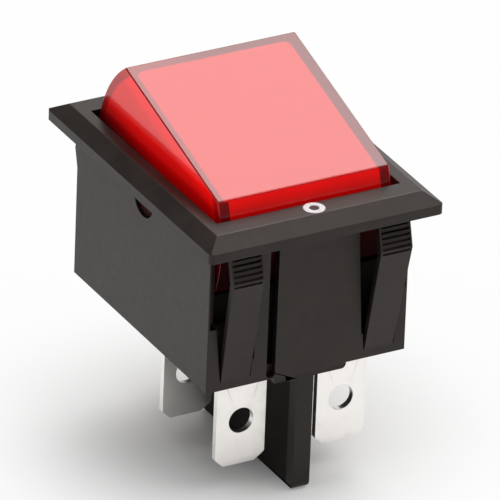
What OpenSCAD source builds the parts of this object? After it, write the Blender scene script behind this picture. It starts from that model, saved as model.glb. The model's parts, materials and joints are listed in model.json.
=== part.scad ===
// Lit double-pole rocker switch that snaps into a panel cut-out.
// Origin: centre of the cut-out, on the underside of the bezel. +Z is up and out of the panel,
// -Y is the front, where the off mark is. The rocker is drawn pressed at the front, switched off.

/* [Bezel] */
// Width of the bezel, left to right
bezel_w = 29.6; // [28.8:0.1:34]
// Length of the bezel, front to back
bezel_l = 39.2; // [38:0.1:44]
// Thickness of the bezel at its flat top
bezel_t = 2.4; // [2:0.1:3]
// Height of the upright rim
rim_h = 1.2; // [0.8:0.1:1.6]
// Corner radius of the rim
rim_r = 0.6; // [0.3:0.1:1]
// Width of the sloped border at the left and right
slope_w = 1.8; // [1.2:0.1:2.1]
// Width of the sloped border at the front and back
slope_l = 2; // [1.2:0.1:2.4]

/* [Body] */
// Width of the body below the bezel
body_w = 25.4; // [25:0.1:27.4]
// Length of the body below the bezel
body_l = 31.8; // [31.4:0.1:33]
// Depth of the body below the bezel
body_h = 18.5; // [16.6:0.1:21]
// Thickness of the side walls
side_wall = 1.1; // [0.9:0.05:1.3]
// Thickness of the end walls
end_wall = 0.9; // [0.85:0.05:1.2]
// Thickness of the floor
floor_t = 1.5; // [1.2:0.1:1.8]
// Drop of the middle of each end wall below the floor
lip_drop = 0.7; // [0.3:0.1:1.2]
// Reach of that drop to one side of the middle
lip_reach = 4.6; // [3.5:0.1:5.5]

/* [Barrier between the poles] */
// Thickness of the barrier
barrier_t = 2.2; // [1.4:0.05:3]
// How far the barrier reaches below the body
barrier_h = 15.2; // [12:0.1:18]
// How far the barrier runs behind the pivot
barrier_back = 5.2; // [2:0.1:12]
// Radius of the barrier's lower front corner
barrier_r = 1; // [0.5:0.1:4]

/* [Snap arms] */
// Distance of the left arm's bulge from the middle
arm_left_x = 9.25; // [9.15:0.05:9.7]
// Distance of the right arm's bulge from the middle
arm_right_x = 9.55; // [9.4:0.05:9.7]
// Width of a snap arm at its bulge
arm_w = 4.05; // [3.4:0.05:4.1]
// Thickness of a snap arm
arm_t = 0.75; // [0.6:0.05:0.8]
// How far the bulge stands out from the end wall
arm_reach = 2.7; // [1.2:0.1:2.8]
// Depth of the bulge below the bezel
arm_peak = 3.9; // [3.5:0.05:6]
// Depth of the arm's free end below the bezel
arm_tip = 0.9; // [0.5:0.1:1.4]
// Height of the arm's root above the body's lower edge
arm_root_up = 1.1; // [0.8:0.1:3]
// Number of grip grooves on each arm
groove_count = 6; // [3:1:6]
// Spacing of the grip grooves
groove_pitch = 0.63; // [0.5:0.01:0.65]
// Gap between the right arm's bulge and the middle of the end wall
arm_gap = 1.4; // [0.8:0.05:1.5]
// The same gap at the left arm
arm_left_gap = 0.3; // [0.2:0.05:0.4]

/* [Rocker] */
// Half of the rocker's travel, in degrees
tilt = 16; // [13:0.5:16.5]
// Depth of the pivot below the bezel
pivot_drop = 1.4; // [1:0.1:1.8]
// Radius of the rocker's pivot pins
pin_r = 2.2; // [1.6:0.05:2.4]
// Radial play of the pivot pins in their holes
pin_play = 0.05; // [0.03:0.01:0.1]
// Height of the rocker's flat top above the pivot
rocker_rise = 9.2; // [8.6:0.1:10.4]
// Wall thickness of the rocker
rocker_wall = 1.3; // [1:0.05:1.6]
// Thickness of the rocker's top
rocker_top_t = 1.4; // [1:0.05:1.8]
// Gap between the rocker and the opening at the sides
side_gap = 0.74; // [0.5:0.01:1.1]
// Gap between the rocker and the opening at its ends
end_gap = 0.2; // [0.15:0.05:0.8]
// Drop of the rocker's skirt below the pivot
skirt_drop = 1.5; // [1.2:0.1:2]

/* [Plungers and contact blades] */
// Distance of each pole from the middle
pole_x = 6.4; // [6.3:0.05:6.8]
// Height of the blades' pivot above the floor
blade_up = 3.84; // [3.6:0.02:4.2]
// Radius of a plunger
plunger_r = 1.4; // [1.25:0.05:1.5]
// Radius of a plunger's round tip
tip_r = 1.2; // [1:0.05:1.25]
// Half of the blade's travel, in degrees
blade_tilt = 7; // [5.5:0.5:8]
// Thickness of a contact blade
blade_t = 0.6; // [0.4:0.05:0.7]
// Width of a contact blade
blade_w = 4.6; // [4.4:0.1:5]
// Distance of the moving contact from the blade's pivot
contact_reach = 10; // [9.4:0.1:10.6]
// Length of the blade's rear arm
rear_arm = 6; // [5:0.1:9]
// Height of a contact's head
contact_h = 0.9; // [0.6:0.05:1.1]
// Radius of a contact's head
contact_r = 1.5; // [1.1:0.05:1.6]

/* [Terminals] */
// Width of a blade terminal
tab_w = 6.3; // [5.2:0.1:6.3]
// Thickness of a blade terminal
tab_t = 0.8; // [0.5:0.05:0.8]
// Length of a terminal below the body
tab_len = 11.9; // [9:0.1:13.5]
// Radius of the hole in a terminal
hole_r = 1.55; // [0.7:0.05:1.6]
// Distance of that hole from the terminal's end
hole_up = 5.7; // [4.5:0.1:6]
// Distance of the front terminals ahead of the pivot
front_tab_y = 12.6; // [12.4:0.1:13]

/* [Lamp] */
// Radius of the lamp's glass
lamp_r = 1.95; // [1.5:0.05:2]
// Length of the lamp's glass
lamp_len = 11; // [9:0.5:12]
// Radius of the lamp wires
wire_r = 0.25; // [0.15:0.01:0.3]
// Distance of each lamp spring from the middle
lamp_spring_x = 1.8; // [1.75:0.05:1.85]
// Distance from the pivot to a lamp spring's tip
lamp_reach = 8.75; // [8.4:0.05:9]

/* [Hidden] */
$fn = 64;

LEFT = -1;
RIGHT = 1;
BLACK = "#3a3533";
RED = "#d01818";
IVORY = "#e8e2d0";
TINNED = "#dcd8d4";
COPPER = "#c08050";
SILVER = "#e6e6e6";
STEEL = "#a8a8a8";
GLASS = "#f0b890";
CERAMIC = "#c8b090";
play = 0.05;        // gap round a piece that sits in a pocket
merge = 0.2;        // how far parts of one moulding run into each other
past = 1;           // how far a cut runs past the face that it opens
spring_play = 0.12; // radial gap between a coil spring and its bore

// Housing
in_w = body_w - 2 * side_wall;
in_l = body_l - 2 * end_wall;
wall_y = body_l / 2;
floor_z = floor_t - body_h;
lip_r = 0.6;
chamber_t = 0.7;
chamber_gap = 0.25;
slot_x = -4.5;
slot_w = 1.1;
slot_top = 2.1;
slot_end = 0.2;
barrier_bevel = 0.25;

// Snap arms: each point of arm_out is a height and how far the arm stands out there.
// The gap round an arm is open down to a ledge on each side of the arm, and a recess below that.
arm_root = body_h - arm_root_up;
tip_in = 0.8;
arm_out = [[-arm_root, 0], [-arm_peak, arm_reach], [-arm_tip, arm_reach - tip_in]];
arm_lean = 0.25;
root_half = arm_w / 2 - 0.2;
root_gap = 0.1;
window_top = 0.4;
window_out = body_w / 2 - 0.25;
window_reach = 0.45;
ledge_in_z = 2.1 - arm_root;
ledge_out_z = 6.9 - arm_root;
recess_in = 0.25;
recess_out = 0.8;
recess_d = end_wall - 0.1;
pad_t = 0.8;
groove_d = 0.25;
groove_w = 0.3;
groove_land = 0.25;
groove_start = 0.15;

// Rocker
pivot_z = -pivot_drop;
rocker_w = in_w - 2 * side_gap;
rocker_r = in_l / 2 - end_gap;
skirt_y = sqrt(rocker_r * rocker_r - skirt_drop * skirt_drop);
skirt_low = pivot_z - skirt_y * sin(tilt) - skirt_drop * cos(tilt);
skirt_clear = 0.4;
pin_end = body_w / 2 - 0.35;
boss_r = pin_r + 0.6;
boss_end = in_w / 2 - 0.08;
tube_bore_r = plunger_r + 0.08;
tube_r = tube_bore_r + 0.5;
tube_bore_top = 3;
guide_len = 3.4;
plunger_strand_r = 0.15;
neck_len = 3.6;
post_bore_r = 0.8;
lamp_strand_r = 0.13;
post_r = post_bore_r + 0.3;
post_bottom = -6.6;
post_top = 0.6;
web_t = 1.2;

// The blade turns blade_ratio times as far as the rocker. The dish in the blade follows the path of
// the plunger's tip, which in the blade's own frame is nearly a circle of radius path_r.
blade_ratio = blade_tilt / tilt;
blade_z = floor_z + blade_up;
tip_gap = 0.06;
rod_r = tab_t / 2;
dish_h = rod_r + 2 * play + blade_t;
ball_h = dish_h + tip_gap + tip_r;
ball_reach = pivot_z - ball_h - blade_z;
plunger_reach = ball_reach + tip_r;
tube_bottom = neck_len - plunger_reach;
path_y = ball_reach - blade_ratio * ball_h;
path_k = (blade_ratio + 0.5) * ball_reach - blade_ratio * blade_ratio * ball_h / 2;
path_r = path_y * path_y / (2 * path_k);
dish_r = path_r + tip_r + tip_gap;
dish_half = 3.2;
dish_c = dish_h + dish_r;
arm_top = dish_c - sqrt(dish_r * dish_r - dish_half * dish_half);
front_arm = contact_reach + contact_r + 0.3;
waist_half = 1.95;
waist_len = 2.2;

// Contacts: the moving one is domed, and just meets the fixed one when the blade's front is down
dome_r = 4;
shank_r = 0.7;
dome_c = arm_top - blade_t - contact_h + dome_r;
fixed_y = -contact_reach * cos(blade_tilt) - dome_c * sin(blade_tilt);
fixed_z = blade_z + dome_c * cos(blade_tilt) - contact_reach * sin(blade_tilt) - dome_r - play;
seat_z = fixed_z - contact_h;
seat_end = fixed_y + contact_r + 0.7;

// Terminals
tab_z = -body_h - tab_len;
shoulder_w = tab_w + 1.1;
shoulder_h = 1.2;
tab_chamfer = 1.15;
bevel_h = 0.9;
bevel_edge = 0.3;
ear_in = waist_half + 0.15;
ear_out = ear_in + 0.8;
ear_top = blade_z + 1.6;
slot_play = 0.1;
pedestal_half = 2.2;

// Lamp
lamp_z = 4.6;
clip_y = 3;
clip_t = 0.8;
clip_half = lamp_r + 0.8;
clip_bottom = lamp_z - 1.2;
clip_open = 1.4;
resistor_r = 0.8;
resistor_len = 4.2;
resistor_y = 3.3;
resistor_z = lamp_z - lamp_r - resistor_r - 0.15;
lead_x = 0.8;
lead_z = 1.2;
lead_y = lamp_len / 2 + 1.1;
lead_end = 0.2;
bend_extra = 0.01;
strip_t = 0.3;
strip_in = 1.2;
strip_out = 2.4;
strip_half = 3.2;
strip_r = lamp_reach + play;
strip_z = pivot_z - sqrt(pow(strip_r + strip_t, 2) - strip_half * strip_half);
strip_foot_x = pole_x - contact_r - 0.5;
strip_foot_l = 1.4;
block_half = strip_out + 0.1;
block_front = -9;
block_back = 4;

// Rectangle in X and Y with round corners, centred
module round_rect(w, l, r) {
    square([w - 2 * r, l], center = true);
    square([w, l - 2 * r], center = true);
    for (x = [-1, 1], y = [-1, 1])
        translate([x * (w / 2 - r), y * (l / 2 - r)]) circle(r);
}

// Rectangle between two corners
module rect(low, high) {
    translate(low) square(high - low);
}

// Block between two corners
module block(low, high) {
    translate(low) cube(high - low);
}

// Runs a profile drawn in Y and Z along X, from x0 to x1
module along_x(x0, x1) {
    translate([x0, 0, 0]) rotate([90, 0, 90]) linear_extrude(x1 - x0) children();
}

// Runs a profile drawn in X and Z along Y, from y0 to y1
module along_y(y0, y1) {
    translate([0, y1, 0]) rotate([90, 0, 0]) linear_extrude(y1 - y0) children();
}

// Cylinder along X, from x0 to x1
module rod_x(r, x0, x1) {
    translate([x0, 0, 0]) rotate([0, 90, 0]) cylinder(r = r, h = x1 - x0);
}

// Cylinder along Z, from z0 to z1
module rod_z(r, z0, z1) {
    translate([0, 0, z0]) cylinder(r = r, h = z1 - z0);
}

// Symmetric trapezium from half width half0 at z0 to half width half1 at z1
module trapezium(half0, z0, half1, z1) {
    polygon([[-half0, z0], [half0, z0], [half1, z1], [-half1, z1]]);
}

// The rocker's own frame, with its front pressed
module in_rocker() {
    translate([0, 0, pivot_z]) rotate([tilt, 0, 0]) children();
}

// The blade's own frame, with its front raised
module in_blade(side) {
    translate([side * pole_x, 0, blade_z]) rotate([-blade_tilt, 0, 0]) children();
}

// The same at the front and, turned half round, at the back
module both_ends() {
    for (turn = [0, 180]) rotate([0, 0, turn]) children();
}

// The same on the right and, mirrored, on the left
module both_sides() {
    for (side = [0, 1]) mirror([side, 0, 0]) children();
}

// Wire through a list of points, with round bends
module wire(points) {
    for (i = [0 : len(points) - 2]) {
        run = points[i + 1] - points[i];
        translate(points[i]) rotate([0, acos(run[2] / norm(run)), atan2(run[1], run[0])])
            cylinder(r = wire_r, h = norm(run), $fn = 24);
    }
    for (i = [1 : len(points) - 2])
        translate(points[i]) sphere(wire_r + bend_extra, $fn = 24);
}

// Coil spring on the Z axis with a closed turn at each end
module coil(outer_r, strand_r, z0, z1, turns) {
    sides = 6;
    turn_steps = 12;
    steps = turn_steps * turns;
    r = outer_r - strand_r;
    low = z0 + strand_r;
    high = z1 - strand_r;
    closed = 2.4 * strand_r;
    function height(i) = lookup(i, [[0, low], [turn_steps, low + closed],
        [steps - turn_steps, high - closed], [steps, high]]);
    function around(s) = r + strand_r * cos(360 * s / sides);
    function above(s) = strand_r * sin(360 * s / sides);
    function point(turn, s, z) = [around(s) * cos(turn), around(s) * sin(turn), z + above(s)];
    points = [for (i = [0 : steps], s = [0 : sides - 1]) point(360 * i / turn_steps, s, height(i))];
    bands = [for (i = [0 : sides : steps * sides - 1], s = [0 : sides - 1]) let (t = (s + 1) % sides)
        each [[i + s, i + t, i + sides + t], [i + s, i + sides + t, i + sides + s]]];
    start = [for (s = [sides - 1 : -1 : 0]) s];
    end = [for (s = [0 : sides - 1]) steps * sides + s];
    polyhedron(points, concat(bands, [start], [end]), convexity = 10);
}

// Bezel: upright rim, sloped border and flat top
module bezel() {
    half_w = bezel_w / 2;
    half_l = bezel_l / 2;
    intersection() {
        linear_extrude(bezel_t) round_rect(bezel_w, bezel_l, rim_r);
        along_x(-half_w, half_w) polygon([[-half_l, 0], [half_l, 0], [half_l, rim_h],
            [half_l - slope_l, bezel_t], [slope_l - half_l, bezel_t], [-half_l, rim_h]]);
        along_y(-half_l, half_l) polygon([[-half_w, 0], [half_w, 0], [half_w, rim_h],
            [half_w - slope_w, bezel_t], [slope_w - half_w, bezel_t], [-half_w, rim_h]]);
    }
}

// Gap round a snap arm at the front right: right through above the ledges, a recess below them
module arm_window(arm_x, gap) {
    root_x = arm_x - arm_lean;
    window_in = arm_x - arm_w / 2 - gap;
    along_y(-wall_y - past, -wall_y + end_wall)
        polygon([[window_in, -window_top], [window_out, -window_top], [window_out, ledge_out_z],
            [root_x, ledge_out_z], [root_x, ledge_in_z], [root_x - root_half - window_reach, ledge_in_z]]);
    along_y(-wall_y - past, -wall_y + recess_d)
        polygon([[root_x - root_half - root_gap, -arm_root], [root_x + root_half + root_gap, -arm_root],
            [root_x + root_half + recess_out, ledge_out_z + merge], [root_x, ledge_out_z + merge],
            [root_x, ledge_in_z + merge], [root_x - root_half - recess_in, ledge_in_z + merge]]);
}

// Inner wall behind that recess
module arm_pad(arm_x) {
    root_x = arm_x - arm_lean;
    along_y(-wall_y + recess_d, -wall_y + end_wall + pad_t) {
        rect([root_x - root_half - window_reach - merge, floor_z - merge], [root_x, ledge_in_z]);
        rect([root_x - merge, floor_z - merge], [in_w / 2 + merge, ledge_out_z]);
    }
}

// Snap arm at the front right: flared leaf with a bulge and grip grooves
module snap_arm(arm_x) {
    root_x = arm_x - arm_lean;
    half = arm_w / 2;
    outer = [for (p = arm_out) [-wall_y - p[1], p[0]]];
    inner = [for (i = [2 : -1 : 0]) outer[i] + [arm_t, 0]];
    low = -arm_root - merge;
    difference() {
        intersection() {
            along_x(root_x - root_half, arm_x + half)
                polygon(concat([[-wall_y, low]], outer, inner, [[-wall_y + arm_t, low]]));
            along_y(-wall_y - arm_reach, 0)
                polygon([[root_x - root_half, low], [root_x + root_half, low], [arm_x + half, -arm_peak],
                    [arm_x + half, 0], [arm_x - half, 0], [arm_x - half, -arm_peak]]);
        }
        along_x(arm_x + groove_land - half, arm_x + half - groove_land)
            for (i = [0 : groove_count - 1]) {
                z = -arm_tip - groove_start - i * groove_pitch;
                rect([-wall_y - lookup(z, arm_out) - past, z - groove_w / 2],
                    [-wall_y - lookup(z, arm_out) + groove_d, z + groove_w / 2]);
            }
    }
}

// Drop of the middle of the front wall below the floor
module lip() {
    z = -body_h - lip_drop;
    along_y(-wall_y, -wall_y + end_wall) {
        rect([slot_x + slot_w / 2, z], [lip_reach, merge - body_h]);
        translate([lip_reach, z + lip_r]) circle(lip_r);
    }
}

// Straight slot beside the left arm, with a round lower end
module end_slot() {
    end_z = slot_end - body_h + slot_w / 2;
    along_y(-wall_y - past, -wall_y + end_wall) {
        translate([slot_x, end_z]) circle(slot_w / 2);
        rect([slot_x - slot_w / 2, end_z], [slot_x + slot_w / 2, -slot_top]);
    }
}

// Barrier between the poles, with a round lower front corner and bevelled lower edges
module barrier() {
    half = barrier_t / 2;
    bottom = -body_h - barrier_h;
    intersection() {
        along_x(-half, half) {
            rect([barrier_r - wall_y, bottom], [barrier_back, merge - body_h]);
            rect([-wall_y, bottom + barrier_r], [barrier_back, merge - body_h]);
            translate([barrier_r - wall_y, bottom + barrier_r]) circle(barrier_r);
        }
        along_y(-wall_y, barrier_back)
            polygon([[barrier_bevel - half, bottom], [half - barrier_bevel, bottom],
                [half, bottom + barrier_bevel], [half, 0], [-half, 0], [-half, bottom + barrier_bevel]]);
    }
}

// Chamber wall that screens the contacts from the gaps round the front arms, up to the rocker's skirt
module chamber_wall() {
    y = front_tab_y + tab_t / 2 + chamber_gap;
    half = in_w / 2 + merge;
    block([-half, -y - chamber_t, floor_z - merge], [half, -y, skirt_low - skirt_clear]);
}

// Block between the poles that carries the lamp strips, hollowed round the pivot
module strip_block() {
    along_x(-block_half, block_half) difference() {
        rect([block_front, floor_z - merge], [block_back, strip_z]);
        translate([0, pivot_z]) circle(strip_r + strip_t, $fn = 96);
    }
}

// Pillar under a front terminal's seat
module pedestal(side) {
    block([side * pole_x - pedestal_half, -front_tab_y + tab_t / 2 + play, floor_z - merge],
        [side * pole_x + pedestal_half, seat_end, seat_z - tab_t]);
}

// Slot in the floor for a terminal whose middle is at y
module tab_slot(side, y) {
    half = [tab_w / 2 + slot_play, tab_t / 2 + slot_play];
    block([side * pole_x - half[0], y - half[1], -body_h - past],
        [side * pole_x + half[0], y + half[1], floor_z + past]);
}

module housing() {
    color(BLACK) {
        difference() {
            union() {
                bezel();
                block([-body_w / 2, -wall_y, -body_h], [body_w / 2, wall_y, merge]);
            }
            block([-in_w / 2, -in_l / 2, floor_z], [in_w / 2, in_l / 2, bezel_t + past]);
            both_ends() {
                end_slot();
                arm_window(arm_right_x, arm_gap);
                mirror([1, 0, 0]) arm_window(arm_left_x, arm_left_gap);
            }
            for (side = [LEFT, RIGHT]) {
                tab_slot(side, -front_tab_y);
                tab_slot(side, 0);
            }
            translate([0, 0, pivot_z]) rod_x(pin_r + pin_play, -body_w / 2, body_w / 2);
        }
        both_ends() {
            snap_arm(arm_right_x);
            arm_pad(arm_right_x);
            mirror([1, 0, 0]) {
                snap_arm(arm_left_x);
                arm_pad(arm_left_x);
            }
            lip();
            chamber_wall();
        }
        barrier();
        strip_block();
        for (side = [LEFT, RIGHT]) pedestal(side);
    }
}

// Side view of the rocker in Y and Z: a flat top between two arcs about the pivot
module rocker_profile(r, top, bottom) {
    intersection() {
        circle(r, $fn = 96);
        rect([-r, bottom], [r, top]);
    }
}

// Tube for a plunger and its spring, with a post beside it for the lamp spring
module plunger_tube(side) {
    difference() {
        union() {
            translate([side * pole_x, 0, 0]) rod_z(tube_r, tube_bottom, rocker_rise - merge);
            translate([side * lamp_spring_x, 0, 0]) rod_z(post_r, post_bottom, post_top);
            block([min(side * pole_x, side * lamp_spring_x), -web_t / 2, post_bottom],
                [max(side * pole_x, side * lamp_spring_x), web_t / 2, post_top]);
        }
        translate([side * pole_x, 0, 0]) rod_z(tube_bore_r, tube_bottom - past, tube_bore_top);
        translate([side * lamp_spring_x, 0, 0]) rod_z(post_bore_r, post_bottom - past, post_top + past);
    }
}

// Rib across the rocker with a snap-in seat for the lamp
module lamp_clip() {
    along_y(-clip_t / 2, clip_t / 2) difference() {
        rect([-clip_half, clip_bottom], [clip_half, rocker_rise - merge]);
        translate([0, lamp_z]) circle(lamp_r + play);
        rect([-clip_open, clip_bottom - past], [clip_open, lamp_z]);
    }
}

module rocker_cap() {
    half = rocker_w / 2;
    color(RED) in_rocker() {
        difference() {
            along_x(-half, half) rocker_profile(rocker_r, rocker_rise, -skirt_drop);
            along_x(rocker_wall - half, half - rocker_wall)
                rocker_profile(rocker_r - rocker_wall, rocker_rise - rocker_top_t, -skirt_drop - past);
        }
        both_sides() {
            rod_x(boss_r, half - rocker_wall, boss_end);
            rod_x(pin_r, half, pin_end);
        }
        for (side = [LEFT, RIGHT]) plunger_tube(side);
        for (y = [-clip_y, clip_y]) translate([0, y, 0]) lamp_clip();
    }
}

// Plunger: round tip, neck and body that slides in the rocker's tube
module plunger(side) {
    neck = plunger_r - tip_r;
    top = tube_bottom + guide_len;
    color(IVORY) in_rocker() translate([side * pole_x, 0, 0]) rotate_extrude() {
        intersection() {
            translate([0, -ball_reach]) circle(tip_r);
            rect([0, -plunger_reach], [tip_r, -ball_reach]);
        }
        polygon([[0, -ball_reach - neck], [tip_r, -ball_reach], [tip_r, -ball_reach + neck],
            [plunger_r, -ball_reach + 2 * neck], [plunger_r, top], [0, top]]);
    }
}

module plunger_spring(side) {
    color(STEEL) in_rocker() translate([side * pole_x, 0, 0])
        coil(outer_r = tube_bore_r - spring_play, strand_r = plunger_strand_r,
            z0 = tube_bottom + guide_len + play, z1 = tube_bore_top - play, turns = 9);
}

// Side view of a blade: a dish for the plunger between two flat arms
module blade_profile() {
    knee = dish_half;
    intersection() {
        difference() {
            translate([0, dish_c]) circle(dish_r + blade_t, $fn = 96);
            translate([0, dish_c]) circle(dish_r, $fn = 96);
        }
        rect([-dish_r, 0], [dish_r, arm_top]);
    }
    rect([-front_arm, arm_top - blade_t], [-knee, arm_top]);
    rect([knee, arm_top - blade_t], [rear_arm, arm_top]);
}

module blade(side) {
    half = blade_w / 2;
    color(COPPER) in_blade(side) difference() {
        along_x(-half, half) blade_profile();
        for (x = [-half - past, waist_half])
            block([x, -waist_len / 2, -past], [x + half + past - waist_half, waist_len / 2, arm_top + past]);
        translate([0, -contact_reach, 0]) rod_z(shank_r, 0, arm_top + past);
    }
}

// Domed contact riveted into the front of a blade
module moving_contact(side) {
    foot_z = arm_top - blade_t - contact_h;
    color(SILVER) in_blade(side) translate([0, -contact_reach, 0]) {
        intersection() {
            rod_z(contact_r, foot_z, arm_top - blade_t);
            translate([0, 0, dome_c]) sphere(dome_r, $fn = 96);
        }
        rod_z(shank_r, arm_top - blade_t - merge, arm_top);
    }
}

// Flat contact riveted into a front terminal
module fixed_contact(side) {
    color(SILVER) translate([side * pole_x, fixed_y, 0]) {
        rod_z(contact_r, seat_z, fixed_z);
        rod_z(shank_r, seat_z - tab_t, seat_z + merge);
    }
}

// Lower part of a terminal, on the Y = 0 plane: tab with bevelled end and hole, and its shoulders
module tab() {
    half = tab_w / 2;
    edge = bevel_edge / 2;
    difference() {
        intersection() {
            along_y(-tab_t / 2, tab_t / 2) union() {
                rect([-half, tab_z + tab_chamfer], [half, floor_z + merge]);
                trapezium(half - tab_chamfer, tab_z, half, tab_z + tab_chamfer);
                rect([-shoulder_w / 2, floor_z], [shoulder_w / 2, floor_z + shoulder_h]);
            }
            along_x(-shoulder_w / 2, shoulder_w / 2) union() {
                trapezium(edge, tab_z, tab_t / 2, tab_z + bevel_h);
                rect([-tab_t / 2, tab_z + bevel_h], [tab_t / 2, 0]);
            }
        }
        translate([0, 0, tab_z + hole_up]) rotate([90, 0, 0])
            cylinder(r = hole_r, h = tab_t + past, center = true);
    }
}

// Front terminal: tab bent over into a seat for the fixed contact
module terminal_front(side) {
    half = tab_w / 2;
    color(TINNED) translate([side * pole_x, 0, 0]) {
        translate([0, -front_tab_y, 0]) {
            tab();
            block([-half, -tab_t / 2, floor_z], [half, tab_t / 2, seat_z]);
        }
        difference() {
            block([-half, -front_tab_y - tab_t / 2, seat_z - tab_t], [half, seat_end, seat_z]);
            translate([0, fixed_y, 0]) rod_z(shank_r, seat_z - tab_t - past, seat_z + past);
        }
    }
}

// Centre terminal: tab with a round edge that the blade rocks on, between two ears
module terminal_centre(side) {
    color(TINNED) translate([side * pole_x, 0, 0]) {
        tab();
        block([-ear_out, -tab_t / 2, floor_z], [ear_out, tab_t / 2, blade_z]);
        translate([0, 0, blade_z]) rod_x(rod_r, -ear_in, ear_in);
        for (x = [-ear_out, ear_in])
            block([x, -tab_t / 2, blade_z - merge], [x + ear_out - ear_in, tab_t / 2, ear_top]);
    }
}

// Lamp: glass tube with a round front end and a pinched, rounded back end
module neon_lamp() {
    back_r = lamp_r / 2;
    color(GLASS) in_rocker() translate([0, -lamp_len / 2, lamp_z]) rotate([-90, 0, 0]) rotate_extrude() {
        intersection() {
            translate([0, lamp_r]) circle(lamp_r);
            rect([0, 0], [lamp_r, lamp_r]);
        }
        rect([0, lamp_r], [lamp_r, lamp_len - back_r]);
        rect([0, lamp_len - back_r], [lamp_r - back_r, lamp_len]);
        intersection() {
            translate([lamp_r - back_r, lamp_len - back_r]) circle(back_r);
            rect([0, lamp_len - back_r], [lamp_r, lamp_len]);
        }
    }
}

module lamp_resistor() {
    color(CERAMIC) in_rocker() translate([0, resistor_y, resistor_z]) rotate([90, 0, 0])
        cylinder(r = resistor_r, h = resistor_len, center = true);
}

// Lead from the lamp back over its end and forward to the left post
module lamp_lead_left() {
    x = -lamp_spring_x;
    color(TINNED) in_rocker() wire([[-lead_x, lamp_len / 2, lamp_z], [-lead_x, lead_y, lamp_z],
        [x, lead_y, lead_z], [x, 0, lead_z], [x, 0, lead_end]]);
}

// Lead from the lamp to the resistor, and from the resistor to the right post
module lamp_lead_right() {
    x = lamp_spring_x;
    color(TINNED) in_rocker() {
        wire([[lead_x, lamp_len / 2, lamp_z], [lead_x, lead_y, lamp_z], [0, lead_y, resistor_z],
            [0, resistor_y + resistor_len / 2, resistor_z]]);
        wire([[0, resistor_y - resistor_len / 2, resistor_z], [0, 0, resistor_z], [x, 0, resistor_z],
            [x, 0, lead_end]]);
    }
}

module lamp_spring(side) {
    color(STEEL) in_rocker() translate([side * lamp_spring_x, 0, 0])
        coil(outer_r = post_bore_r - spring_play, strand_r = lamp_strand_r, z0 = -lamp_reach,
            z1 = lead_end - play, turns = 10);
}

// Side view of a strip: an arc about the pivot, a flat run, and a leg down to the terminal's seat
module strip_profile() {
    intersection() {
        difference() {
            translate([0, pivot_z]) circle(strip_r + strip_t, $fn = 96);
            translate([0, pivot_z]) circle(strip_r, $fn = 96);
        }
        rect([-strip_half, pivot_z - strip_r - past], [strip_half, pivot_z]);
    }
    rect([block_front - strip_t, strip_z], [-strip_half, strip_z + strip_t]);
    rect([block_front - strip_t, seat_z], [block_front, strip_z + strip_t]);
}

module lamp_strip(side) {
    color(COPPER) mirror([side < 0 ? 1 : 0, 0, 0]) {
        along_x(strip_in, strip_out) strip_profile();
        block([strip_in, block_front - strip_foot_l, seat_z], [strip_foot_x, block_front, seat_z + strip_t]);
    }
}

housing();
rocker_cap();
plunger(LEFT);  // plunger_left
plunger(RIGHT);  // plunger_right
plunger_spring(LEFT);  // plunger_spring_left
plunger_spring(RIGHT);  // plunger_spring_right
blade(LEFT);  // blade_left
blade(RIGHT);  // blade_right
moving_contact(LEFT);  // moving_contact_left
moving_contact(RIGHT);  // moving_contact_right
fixed_contact(LEFT);  // fixed_contact_left
fixed_contact(RIGHT);  // fixed_contact_right
terminal_front(LEFT);  // terminal_front_left
terminal_front(RIGHT);  // terminal_front_right
terminal_centre(LEFT);  // terminal_centre_left
terminal_centre(RIGHT);  // terminal_centre_right
neon_lamp();
lamp_resistor();
lamp_lead_left();
lamp_lead_right();
lamp_spring(LEFT);  // lamp_spring_left
lamp_spring(RIGHT);  // lamp_spring_right
lamp_strip(LEFT);  // lamp_strip_left
lamp_strip(RIGHT);  // lamp_strip_right
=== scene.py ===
"""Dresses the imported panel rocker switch: soft edges, finishes, the printed off mark, studio and camera.

All lengths are in metres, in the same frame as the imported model: +Z out of the panel, -Y to the front.
Sizes inside a finish are in millimetres, because its texture coordinates are.
"""

from __future__ import annotations

import json
import logging
import math
from dataclasses import dataclass, field
from enum import Enum
from typing import Any, Iterable, Union

import bmesh
import bpy
from mathutils import Matrix, Vector

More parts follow.
